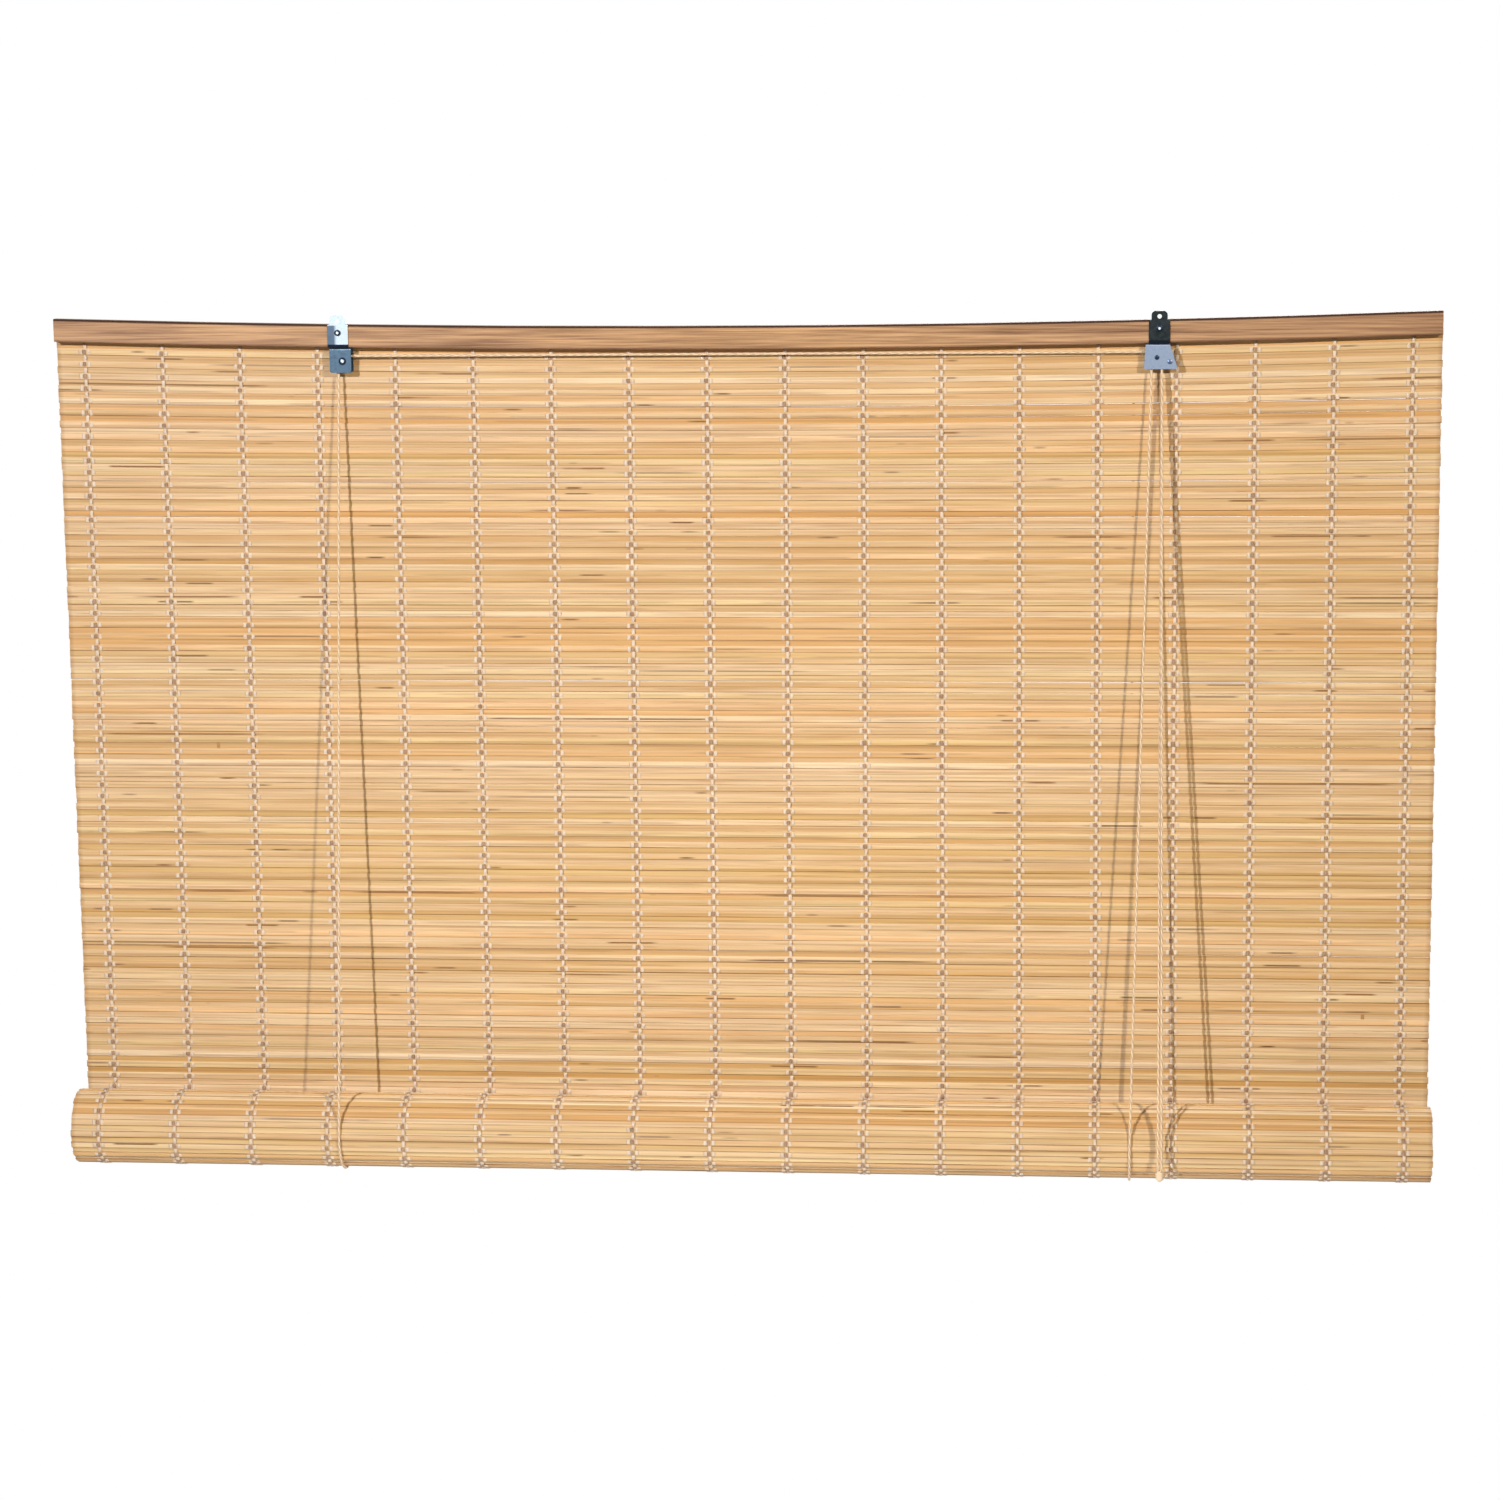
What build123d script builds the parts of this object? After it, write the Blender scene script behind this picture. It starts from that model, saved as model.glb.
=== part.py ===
"""Bamboo roll-up blind: a woven slat mat that hangs from a wooden head rail and is rolled up
from below by two lift cords, over pulleys and through a cord lock. Millimetres, +Z up,
front towards -Y, origin midway between the two hanging holes at the rail's front face."""
import os
from math import acos, asin, atan2, ceil, cos, degrees, floor, pi, radians, sin, sqrt

from build123d import *

# Head rail, a wooden lath that sags between its hangers
rail_short_of_mat = 3.0
rail_height = 23.0
rail_depth = 12.0
rail_sag = 11.0
rail_shift = -8.0
rail_edge = 0.8

# Hanger plates with the two hanging holes
hanger_spacing = 826.0
hanging_hole_radius = 2.2
hole_above_rail = 3.5
plate_width = 21.0
plate_thickness = 1.2
plate_below_rail = 0.4
tab_width = 16.0
tab_above_hole = 5.5
tab_corner = 4.5
plate_corner = 1.5
plate_screw_drop = 8.3

# Wood screws and staples
screw_head_radius = 3.2
screw_head_height = 1.6
screw_crown = 0.5
screw_shank_radius = 1.6
screw_shank_length = 9.0
housing_screw_shank_length = 10.0
staple_wire = 0.8
staple_width = 10.0
staple_bite = 4.0
staple_cord_gap = 0.3

# Slats of the mat, woven alternately to the front and the back
mat_width = 1400.0
mat_top_drop = 9.0
slat_pitch = 6.0
slat_thickness = 2.2
slat_groove = 0.9
slat_web = 1.0
slat_stagger = 0.45
hanging_slats = 138

# Warp threads that bind the slats
thread_columns = 18
thread_margin = 29.4
thread_crowding = 7.5
thread_width = 11.0
thread_thickness = 0.6
thread_gap = 0.05

# Roll of wound mat at the lower end, and the lath inside it
roll_radius = 37.0
turn_pitch = 5.2
turn_thickness = 3.0
rolled_slats = 132
turn_step_share = 1 / 6
ridged_turns_share = 1.06
roll_gap = 0.3
band_slats = 2
lath_width = 18.0
lath_depth = 8.0
lath_edge = 1.0
lath_clearance = 0.3

# Cords
cord_radius = 1.4
cord_clearance = 0.3
cord_joint_gap = 0.3
cord_lead = 1.0
left_sling_offset = -11.0
right_sling_offset = -25.0
pull_offset = 5.2
pull_standoff = 14.0
pull_drop = 17.0
pull_strand_gap = 1.6
knot_radius = 3.0
knot_height = 7.0
knot_edge = 1.2
pull_knot_radius = 4.0
pull_knot_height = 11.0
pull_knot_edge = 2.4

# Pulleys on riveted axles
pulley_wrap_radius = 5.0
pulley_rim_over_cord = 0.1
pulley_rim = 0.5
pulley_rib = 0.8
groove_clearance = 0.1
groove_flare = 0.4
pulley_hub_radius = 2.8
pulley_drop = 14.0
axle_radius = 1.25
axle_running_clearance = 0.08
axle_fit_clearance = 0.05
axle_head_radius = 2.4
axle_head_height = 0.8
axle_crown = 0.35

# Folded sheet housings under the rail
sheet = 1.0
housing_bend = 2.0
housing_drop = 25.0
housing_rail_gap = 0.7
housing_side_clearance = 0.3
cheek_corner = 2.0
left_housing_offset = 2.0
left_housing_width = 22.0
left_axle_offset = 4.1
left_screw_from_strand = 2.9
lock_screw_from_strand = 4.25
lock_axle_offset = -2.35
lock_top_left = -13.4
lock_top_right = 10.2
lock_bottom_left = -15.2
lock_bottom_right = 18.3

# Toothed cam of the cord lock
cam_offset = 10.5
cam_drop = 18.5
cam_teeth = 5
cam_tooth_depth = 0.7
cam_back_radius = 3.6
cam_release_radius = 5.0
cam_release_angle = 140.0
cam_grip_angle = 180.0
cam_last_angle = 205.0

# Levels and planes that the pieces share
hanger_x = hanger_spacing / 2
rail_length = mat_width - rail_short_of_mat
bend_radius = (rail_length / 2) ** 2 / (2 * rail_sag) + rail_sag / 2


def rail_rise(x):
    """Height of the bent rail above its own middle, x from the rail's middle."""
    return bend_radius - sqrt(bend_radius**2 - x**2)


rail_top_mid = -hole_above_rail - rail_rise(hanger_x)
rail_top_end = rail_top_mid + rail_rise(rail_length / 2)
rail_bottom = -hole_above_rail - rail_height
mat_crest = slat_thickness / 2 + slat_stagger
mat_y = rail_depth + thread_thickness + 2 * thread_gap + mat_crest
mat_top = -mat_top_drop
roll_z = mat_top - hanging_slats * slat_pitch
roll_y = mat_y - roll_radius
roll_outside = sqrt((roll_radius * cos(asin(slat_pitch / (2 * roll_radius))) + turn_thickness / 2) ** 2
                    + (slat_pitch / 2) ** 2)
sling_radius = roll_outside + cord_clearance + cord_radius
groove_half_floor = cord_radius + groove_clearance
groove_half_mouth = groove_half_floor + groove_flare
lock_groove_offset = groove_half_mouth + pulley_rib / 2
lock_pulley_half = lock_groove_offset + groove_half_mouth + pulley_rim
housing_inside = 2 * (lock_pulley_half + housing_side_clearance)
housing_top = rail_bottom - housing_rail_gap
housing_bottom = housing_top - housing_drop
axle_y = housing_inside / 2
axle_z = rail_bottom - pulley_drop
left_axle_x = -hanger_x + left_axle_offset
lock_axle_x = hanger_x + lock_axle_offset
front_groove_y = axle_y - lock_groove_offset
back_groove_y = axle_y + lock_groove_offset
cord_start_z = axle_z - cord_lead
sling_x = {"left": -hanger_x + left_sling_offset, "right": hanger_x + right_sling_offset}
pull_x = hanger_x + pull_offset
pull_y = roll_y - roll_outside - pull_standoff
pull_knot_top = roll_z - pull_drop
pull_strand_spacing = 2 * cord_radius + pull_strand_gap
thread_reach_x = mat_width / 2 - thread_margin
thread_shares = [2 * i / (thread_columns - 1) - 1 for i in range(thread_columns)]
thread_xs = [rail_shift + share * thread_reach_x + thread_crowding * (1 - share**2)
             for share in thread_shares]

os.makedirs("parts", exist_ok=True)


def save(name, shape):
    """Write one sub-part."""
    export_step(shape, f"parts/{name}.step")


def along_x(face_points, x_from, x_to):
    """Prism of a YZ outline between two X planes."""
    outline = Polyline(*[(0, y, z) for y, z in face_points], close=True)
    prism = extrude(make_face(outline), amount=x_to - x_from, dir=(1, 0, 0))
    return Pos(x_from, 0, 0) * prism


def box_between(low, high):
    """Box with two opposite corners given."""
    size = [b - a for a, b in zip(low, high)]
    middle = [(a + b) / 2 for a, b in zip(low, high)]
    return Pos(*middle) * Box(*size)


def turned(profile, axis):
    """Solid of revolution of a closed outline of points about an axis."""
    return revolve(make_face(Polyline(*profile, close=True)), axis=axis)


def straight_cord(start, end, start_gap=0.0, end_gap=0.0):
    """Taut run of cord between two points, held back from either end by a gap."""
    run = Vector(*end) - Vector(*start)
    foot = Vector(*start) + run.normalized() * start_gap
    tube = Solid.make_cylinder(cord_radius, run.length - start_gap - end_gap, Plane(foot, z_dir=run))
    return Part(tube.wrapped)


def bent_cord(points, radius):
    """Cord along straight runs joined by arcs of a pulley's size."""
    path = FilletPolyline(*points, radius=radius)
    section = Plane(path @ 0, z_dir=path % 0) * Circle(cord_radius)
    return sweep(section, path=path)


def barrel(radius, height, edge, top):
    """Upright knot with sloped ends, hanging from its top point."""
    body = Cylinder(radius, height, align=(Align.CENTER, Align.CENTER, Align.MAX))
    return Pos(*top) * chamfer(body.edges().filter_by(GeomType.CIRCLE), edge)


# Head rail
rail_half = rail_length / 2
top_edge = ThreePointArc((-rail_half, rail_top_end), (0, rail_top_mid), (rail_half, rail_top_end))
bottom_edge = Pos(0, -rail_height) * top_edge
rail_outline = [top_edge, bottom_edge]
rail_outline += [Line(top_edge @ end, bottom_edge @ end) for end in (0, 1)]
rail_side = make_face([edge for line in rail_outline for edge in line.edges()])
head_rail = Pos(rail_shift, 0, 0) * extrude(Plane.XZ * rail_side, amount=rail_depth, dir=(0, 1, 0))
long_edges = head_rail.edges().filter_by(GeomType.CIRCLE)
head_rail = chamfer(long_edges, rail_edge)
save("head_rail", head_rail)

# Hanger plates
plate_bottom = rail_bottom - plate_below_rail
plate_screw_z = -hole_above_rail - plate_screw_drop
for side, hanger in (("left", -hanger_x), ("right", hanger_x)):
    body = Pos(0, (plate_bottom - hole_above_rail) / 2) * RectangleRounded(
        plate_width, -hole_above_rail - plate_bottom, plate_corner)
    tab_bottom = -hole_above_rail - rail_height / 2
    tab = Pos(0, (tab_above_hole + tab_bottom) / 2) * RectangleRounded(
        tab_width, tab_above_hole - tab_bottom, tab_corner)
    plate = body + tab - Circle(hanging_hole_radius)
    plate -= Pos(0, plate_screw_z) * Circle(screw_shank_radius + axle_fit_clearance)
    solid = extrude(Plane.XZ * plate, amount=plate_thickness, dir=(0, -1, 0))
    save(f"hanger_plate_{side}", Pos(hanger, 0, 0) * solid)


def wood_screw(shank_length):
    """Crowned screw along +Y, its head's seat at the origin."""
    head = -screw_head_height
    profile = [(0, head, 0), (screw_shank_radius, head, 0), (screw_head_radius, head + screw_crown, 0),
               (screw_head_radius, 0, 0), (screw_shank_radius, 0, 0),
               (screw_shank_radius, shank_length - screw_shank_radius, 0), (0, shank_length, 0)]
    return turned(profile, Axis.Y)


# Screws through the hanger plates, into the rail's front
plate_screws = [Pos(x, -plate_thickness, plate_screw_z) * wood_screw(screw_shank_length)
                for x in (-hanger_x, hanger_x)]
save("plate_screws", Compound(children=plate_screws))

# Woven mat, cut as one ridged wall: a slat, a groove, the next slat a little further back or forward
front_side = [(mat_y - slat_web / 2, mat_top)]
back_side = [(mat_y + slat_web / 2, mat_top)]
for slat in range(hanging_slats):
    stagger = slat_stagger if slat % 2 else -slat_stagger
    slat_top = mat_top - slat * slat_pitch
    slat_bottom = slat_top - slat_pitch
    face_top = slat_top - slat_groove / 2
    face_bottom = slat_bottom + slat_groove / 2
    front_face = mat_y + stagger - slat_thickness / 2
    back_face = mat_y + stagger + slat_thickness / 2
    front_side += [(front_face, face_top), (front_face, face_bottom), (mat_y - slat_web / 2, slat_bottom)]
    back_side += [(back_face, face_top), (back_face, face_bottom), (mat_y + slat_web / 2, slat_bottom)]
mat_left = rail_shift - mat_width / 2
mat_right = rail_shift + mat_width / 2
save("bamboo_mat", along_x(front_side + back_side[::-1], mat_left, mat_right))

# Warp threads, a strip down the front and the back of the mat at each column
warp_threads = []
thread_reach = mat_crest + thread_gap
for x in thread_xs:
    for side in (-1, 1):
        middle_y = mat_y + side * (thread_reach + thread_thickness / 2)
        low = (x - thread_width / 2, middle_y - thread_thickness / 2, roll_z)
        high = (x + thread_width / 2, middle_y + thread_thickness / 2, mat_top)
        warp_threads.append(box_between(low, high))
save("warp_threads", Compound(children=warp_threads))


def turn_radius(angle):
    """Radius of the wound mat: round for most of a turn, then a step inwards."""
    turns = floor(angle / (2 * pi))
    part_turn = angle / (2 * pi) - turns
    step = max(0, (part_turn - (1 - turn_step_share)) / turn_step_share)
    return roll_radius - turn_pitch * (turns + step)


def roll_point(angle, radius):
    """Point of the roll, from its back, downwards and round its front."""
    return Vector(0, roll_y + radius * cos(angle), roll_z - radius * sin(angle))


# Slat joints along the wound mat
angles = [roll_gap / roll_radius]
for slat in range(rolled_slats):
    angles.append(angles[-1] + 2 * asin(slat_pitch / (2 * turn_radius(angles[-1]))))
joints = [roll_point(angle, turn_radius(angle)) for angle in angles]
slat_runs = [(b - a).normalized() for a, b in zip(joints, joints[1:])]
slat_normals = [Vector(0, -run.Z, run.Y) for run in slat_runs]
joint_normals = [slat_normals[0]]
joint_normals += [(a + b).normalized() for a, b in zip(slat_normals, slat_normals[1:])]
joint_normals.append(slat_normals[-1])

# Roll of mat, one spiral solid with its outer turn ridged
ridged_slats = ceil(ridged_turns_share * 2 * pi * roll_radius / slat_pitch)
outer_side = [joints[0] + joint_normals[0] * (slat_web / 2)]
for slat in range(rolled_slats):
    if slat < ridged_slats:
        lift = slat_normals[slat] * (turn_thickness / 2)
        inset = slat_runs[slat] * (slat_groove / 2)
        outer_side += [joints[slat] + lift + inset, joints[slat + 1] + lift - inset]
        outer_side.append(joints[slat + 1] + joint_normals[slat + 1] * (slat_web / 2))
    else:
        outer_side.append(joints[slat + 1] + joint_normals[slat + 1] * (turn_thickness / 2))
inner_side = [joint - normal * (turn_thickness / 2) for joint, normal in zip(joints, joint_normals)]
roll_outline = [(p.Y, p.Z) for p in outer_side + inner_side[::-1]]
save("mat_roll", along_x(roll_outline, mat_left, mat_right))

# Warp threads round the outer turn of the roll, as open bands
band_inside = roll_outside + thread_gap
band_step = band_slats * (angles[1] - angles[0])
band_count = floor((1 - turn_step_share) * 2 * pi / band_step)
band_angles = [angles[0] + i * band_step for i in range(band_count + 1)]
band_outside = band_inside + thread_thickness
corner_reach = 1 / cos(band_step / 2)
band_inner = [roll_point(angle, band_inside * corner_reach) for angle in band_angles]
band_outer = [roll_point(angle, band_outside * corner_reach) for angle in band_angles]
band_outline = [(p.Y, p.Z) for p in band_outer + band_inner[::-1]]
roll_threads = [along_x(band_outline, x - thread_width / 2, x + thread_width / 2) for x in thread_xs]
save("roll_threads", Compound(children=roll_threads))

# Lath at the mat's lower end, which the mat is wound round
last_radius = turn_radius(angles[-1])
core_radius = (last_radius - turn_thickness / 2) * cos(asin(slat_pitch / (2 * last_radius)))
lath_corner = core_radius - lath_clearance
lath_face = sqrt(lath_corner**2 - (lath_width / 2) ** 2)
lath_angle = angles[-1] - asin(lath_width / 2 / lath_corner)
lath = Box(mat_width, lath_depth, lath_width)
lath = chamfer(lath.edges().filter_by(Axis.X), lath_edge)
lath = Pos(0, lath_face - lath_depth / 2, 0) * lath
lath = Rot(-degrees(lath_angle), 0, 0) * lath
save("bottom_rail", Pos(rail_shift, roll_y, roll_z) * lath)


def staple(x, z, width, crown_y):
    """Wire staple across the mat's back, with its legs in the rail."""
    half = width / 2
    tip = rail_depth - staple_bite
    back = crown_y + staple_wire
    outline = [(x - half, back), (x + half, back), (x + half, tip), (x + half - staple_wire, tip),
               (x + half - staple_wire, crown_y), (x - half + staple_wire, crown_y),
               (x - half + staple_wire, tip), (x - half, tip)]
    wire = make_face(Polyline(*[(px, py, 0) for px, py in outline], close=True))
    return Pos(0, 0, z - staple_wire / 2) * extrude(wire, amount=staple_wire, dir=(0, 0, 1))


# Staples that hold the mat to the rail's back, and the ends of the lift cords
staple_z = mat_top - slat_pitch / 2
cord_staple_z = mat_top - 3 * slat_pitch / 2
cord_staple_width = 2 * (cord_radius + staple_cord_gap + staple_wire)
back_crest = mat_y + mat_crest
back_cord_y = roll_y + sling_radius
rail_staples = []
for left_thread, right_thread in zip(thread_xs[::2], thread_xs[1::2]):
    x = (left_thread + right_thread) / 2
    rail_staples.append(staple(x, staple_z, staple_width, back_crest))
for x in sling_x.values():
    rail_staples.append(staple(x, cord_staple_z, cord_staple_width, back_cord_y + cord_radius))
save("rail_staples", Compound(children=rail_staples))

# Housings of folded sheet: back cheek, bridge under the rail and front cheek
housing_depth = housing_inside + 2 * sheet
fold_outside = RectangleRounded(housing_depth, 2 * housing_drop, housing_bend)
fold_inside = RectangleRounded(housing_inside, 2 * (housing_drop - sheet), housing_bend - sheet)
fold = Plane.YZ * (Pos(axle_y, housing_bottom) * (fold_outside - fold_inside))


def folded_housing(cheek, axles, screw_x):
    """Housing whose cheeks have the given outline and axle holes, with a screw hole in its bridge."""
    outline = Polyline(*cheek, close=True)
    low_corners = make_face(outline).vertices().sort_by(Axis.Y)[:2]
    cheeks = fillet(low_corners, cheek_corner)
    for axle in axles:
        cheeks -= Pos(*axle) * Circle(axle_radius + axle_fit_clearance)
    left = min(x for x, z in cheek)
    right = max(x for x, z in cheek)
    channel = Pos(left, 0, 0) * extrude(fold, amount=right - left, dir=(1, 0, 0))
    walls = extrude(Plane.XZ * cheeks, amount=housing_depth, dir=(0, 1, 0))
    hole_radius = screw_shank_radius + axle_fit_clearance
    screw_hole = Pos(screw_x, axle_y, housing_top) * Cylinder(hole_radius, 2 * housing_bend)
    return (channel & Pos(0, -sheet, 0) * walls) - screw_hole


left_middle = -hanger_x + left_housing_offset
left_cheek = [(left_middle + side * left_housing_width / 2, z)
              for side, z in ((-1, housing_top), (-1, housing_bottom), (1, housing_bottom), (1, housing_top))]
lock_cheek = [(hanger_x + lock_top_left, housing_top), (hanger_x + lock_bottom_left, housing_bottom),
              (hanger_x + lock_bottom_right, housing_bottom), (hanger_x + lock_top_right, housing_top)]
cam_x = hanger_x + cam_offset
cam_z = rail_bottom - cam_drop
left_axle = (left_axle_x, axle_z)
lock_axle = (lock_axle_x, axle_z)
cam_axle = (cam_x, cam_z)
strand_x = lock_axle_x + pulley_wrap_radius
left_screw_x = left_axle_x - pulley_wrap_radius + left_screw_from_strand
lock_screw_x = strand_x - lock_screw_from_strand
save("pulley_housing", folded_housing(left_cheek, [left_axle], left_screw_x))
save("lock_housing", folded_housing(lock_cheek, [lock_axle, cam_axle], lock_screw_x))

# Screws through the housings' bridges, up into the rail's underside
housing_screws = []
for x in (left_screw_x, lock_screw_x):
    screw = Rot(90, 0, 0) * wood_screw(housing_screw_shank_length)
    housing_screws.append(Pos(x, axle_y, housing_top - sheet) * screw)
save("housing_screws", Compound(children=housing_screws))

# Rivets that carry the two pulleys and the cam
seat = housing_inside + sheet
rivet_profile = [(0, -sheet - axle_head_height, 0), (axle_radius, -sheet - axle_head_height, 0),
                 (axle_head_radius, -sheet - axle_head_height + axle_crown, 0), (axle_head_radius, -sheet, 0),
                 (axle_radius, -sheet, 0), (axle_radius, seat, 0), (axle_head_radius, seat, 0),
                 (axle_head_radius, seat + axle_head_height - axle_crown, 0),
                 (axle_radius, seat + axle_head_height, 0), (0, seat + axle_head_height, 0)]
axle_rivets = [Pos(x, 0, z) * turned(rivet_profile, Axis.Y) for x, z in (left_axle, lock_axle, cam_axle)]
save("axle_rivets", Compound(children=axle_rivets))


def pulley(grooves):
    """Grooved wheel about Y, between the cheeks, with a hub up to them."""
    bore = axle_radius + axle_running_clearance
    floor_radius = pulley_wrap_radius - cord_radius - cord_clearance
    hub_end = housing_inside / 2 - housing_side_clearance
    pulley_rim_radius = pulley_wrap_radius + cord_radius + pulley_rim_over_cord
    rim_end = max(grooves) + groove_half_mouth + pulley_rim
    profile = [(pulley_rim_radius, -rim_end, 0)]
    for groove in grooves:
        profile += [(pulley_rim_radius, groove - groove_half_mouth, 0),
                    (floor_radius, groove - groove_half_floor, 0),
                    (floor_radius, groove + groove_half_floor, 0),
                    (pulley_rim_radius, groove + groove_half_mouth, 0)]
    profile += [(pulley_rim_radius, rim_end, 0), (bore, rim_end, 0), (bore, -rim_end, 0)]
    hub_profile = [(bore, -hub_end, 0), (pulley_hub_radius, -hub_end, 0),
                   (pulley_hub_radius, hub_end, 0), (bore, hub_end, 0)]
    return turned(profile, Axis.Y) + turned(hub_profile, Axis.Y)


save("cord_pulley", Pos(left_axle_x, axle_y, axle_z) * pulley([0.0]))
save("lock_pulley", Pos(lock_axle_x, axle_y, axle_z) * pulley([-lock_groove_offset, lock_groove_offset]))

# Toothed cam that grips the pull cords against the lock pulley's side
cam_grip = cam_x - strand_x - cord_radius - cord_clearance


def cam_point(angle, radius):
    """Point of the cam's side, angle from +X towards +Z."""
    return (cam_x + radius * cos(radians(angle)), cam_z + radius * sin(radians(angle)))


def cam_crest(angle):
    """Radius of the tooth tips: it grows up to the grip, and then follows the cord."""
    if angle > cam_grip_angle:
        return cam_grip / cos(radians(angle - cam_grip_angle))
    grip_share = (angle - cam_release_angle) / (cam_grip_angle - cam_release_angle)
    return cam_release_radius + grip_share * (cam_grip - cam_release_radius)


tooth_angle = (cam_last_angle - cam_release_angle) / cam_teeth
cam_outline = [cam_point(cam_release_angle, cam_release_radius)]
for tooth in range(1, cam_teeth + 1):
    crest_angle = cam_release_angle + tooth * tooth_angle
    root_angle = crest_angle - tooth_angle / 2
    cam_outline.append(cam_point(root_angle, cam_crest(root_angle) - cam_tooth_depth))
    cam_outline.append(cam_point(crest_angle, cam_crest(crest_angle)))
cam_tail = Pos(cam_x, cam_z) * Circle(cam_back_radius)
cam_outline += [cam_point(angle, cam_back_radius) for angle in (270, 360, 450)]
cam_nose = make_face(Polyline(*cam_outline, close=True))
cam_side = cam_nose + cam_tail - Pos(cam_x, cam_z) * Circle(axle_radius + axle_running_clearance)
cam_width = housing_inside - 2 * housing_side_clearance
cam = extrude(Plane.XZ * cam_side, amount=cam_width, dir=(0, 1, 0))
save("lock_cam", Pos(0, housing_side_clearance, 0) * cam)

# Lift cords: down behind the mat, under the roll in a sling and up its front to a pulley
lift_tops = {"left": (left_axle_x - pulley_wrap_radius, axle_y, cord_start_z),
             "right": (lock_axle_x - pulley_wrap_radius, front_groove_y, cord_start_z)}
knot_bottom = cord_staple_z + 2 * staple_wire
cord_knots = []
for side, x in sling_x.items():
    top = lift_tops[side]
    reach = sqrt((top[1] - roll_y) ** 2 + (top[2] - roll_z) ** 2)
    leave = atan2(top[2] - roll_z, top[1] - roll_y) + acos(sling_radius / reach)
    leave_point = (x, roll_y + sling_radius * cos(leave), roll_z + sling_radius * sin(leave))
    back_point = (x, back_cord_y, roll_z)
    sling_section = Plane(back_point, z_dir=(0, 0, 1)) * Circle(cord_radius)
    sling_axis = Axis((x, roll_y, roll_z), (-1, 0, 0))
    sling = revolve(sling_section, axis=sling_axis, revolution_arc=360 - degrees(leave))
    save(f"lift_cord_{side}_sling", sling)
    save(f"lift_cord_{side}_front", straight_cord(leave_point, top, cord_joint_gap, cord_joint_gap))
    back_top = (x, back_cord_y, knot_bottom)
    save(f"lift_cord_{side}_back", straight_cord(back_point, back_top, cord_joint_gap))
    knot_y = back_crest + cord_clearance + knot_radius
    cord_knots.append(barrel(knot_radius, knot_height, knot_edge, (x, knot_y, knot_bottom + knot_height)))
save("cord_knots", Compound(children=cord_knots))

# The left cord over its pulley, along under the rail and over the lock pulley
wrap_top = axle_z + pulley_wrap_radius
cross_cord = bent_cord([lift_tops["left"], (left_axle_x - pulley_wrap_radius, axle_y, wrap_top),
                        (strand_x, back_groove_y, wrap_top), (strand_x, back_groove_y, cord_start_z)],
                       pulley_wrap_radius)
save("cross_cord", cross_cord)

# The right cord over the lock pulley
lock_cord = bent_cord([lift_tops["right"], (lock_axle_x - pulley_wrap_radius, front_groove_y, wrap_top),
                       (strand_x, front_groove_y, wrap_top), (strand_x, front_groove_y, cord_start_z)],
                      pulley_wrap_radius - cord_joint_gap / 2)
save("lock_cord", lock_cord)

# Pull cord: two strands down in front of the roll, joined in a knot
upper_strands = []
lower_strands = []
for groove_y, side in ((front_groove_y, -1), (back_groove_y, 1)):
    strand_top = (strand_x, groove_y, cord_start_z)
    foot_x = pull_x + side * pull_strand_spacing / 2
    strand_low = (foot_x, pull_y, roll_z)
    strand_end = (foot_x, pull_y, pull_knot_top)
    upper_strands.append(straight_cord(strand_top, strand_low, cord_joint_gap, cord_joint_gap))
    lower_strands.append(straight_cord(strand_low, strand_end, cord_joint_gap, cord_joint_gap))
save("pull_cord_upper", Compound(children=upper_strands))
save("pull_cord_lower", Compound(children=lower_strands))
save("pull_knot", barrel(pull_knot_radius, pull_knot_height, pull_knot_edge, (pull_x, pull_y, pull_knot_top)))

print("cord arcs", pulley_wrap_radius, sling_radius)
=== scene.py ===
from math import acos, asin, cos, floor, pi, radians, sin

import bmesh
import bpy
import numpy as np
from mathutils import Matrix, Vector


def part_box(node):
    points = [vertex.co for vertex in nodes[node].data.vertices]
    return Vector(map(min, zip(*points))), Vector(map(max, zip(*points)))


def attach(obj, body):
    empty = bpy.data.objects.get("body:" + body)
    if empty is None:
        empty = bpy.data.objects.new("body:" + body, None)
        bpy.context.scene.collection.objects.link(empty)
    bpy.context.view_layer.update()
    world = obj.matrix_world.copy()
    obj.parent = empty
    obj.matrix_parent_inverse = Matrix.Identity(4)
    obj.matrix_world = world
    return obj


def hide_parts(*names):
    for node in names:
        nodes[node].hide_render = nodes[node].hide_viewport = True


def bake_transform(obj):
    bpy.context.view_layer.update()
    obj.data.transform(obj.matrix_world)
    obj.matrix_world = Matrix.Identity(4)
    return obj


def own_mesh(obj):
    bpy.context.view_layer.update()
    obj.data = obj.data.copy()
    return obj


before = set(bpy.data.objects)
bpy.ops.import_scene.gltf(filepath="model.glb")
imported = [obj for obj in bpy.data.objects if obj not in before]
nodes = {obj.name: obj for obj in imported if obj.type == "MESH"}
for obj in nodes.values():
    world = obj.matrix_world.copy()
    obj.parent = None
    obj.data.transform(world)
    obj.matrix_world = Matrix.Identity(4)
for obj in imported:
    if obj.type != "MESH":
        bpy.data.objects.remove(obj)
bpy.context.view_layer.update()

mm = 0.001

# Head rail. A planed lath of softwood, stained a light reddish brown, that has taken a sag
# between its two hangers. The grain runs along it, and its edges are eased with a plane.
# Painted shade darkens its top and lower edges.


def tone(red, green, blue):
    """Linear colour of a tone given as a screen shows it, from 0 to 255."""
    return [((c / 255 + 0.055) / 1.055) ** 2.4 for c in (red, green, blue)] + [1.0]


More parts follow.
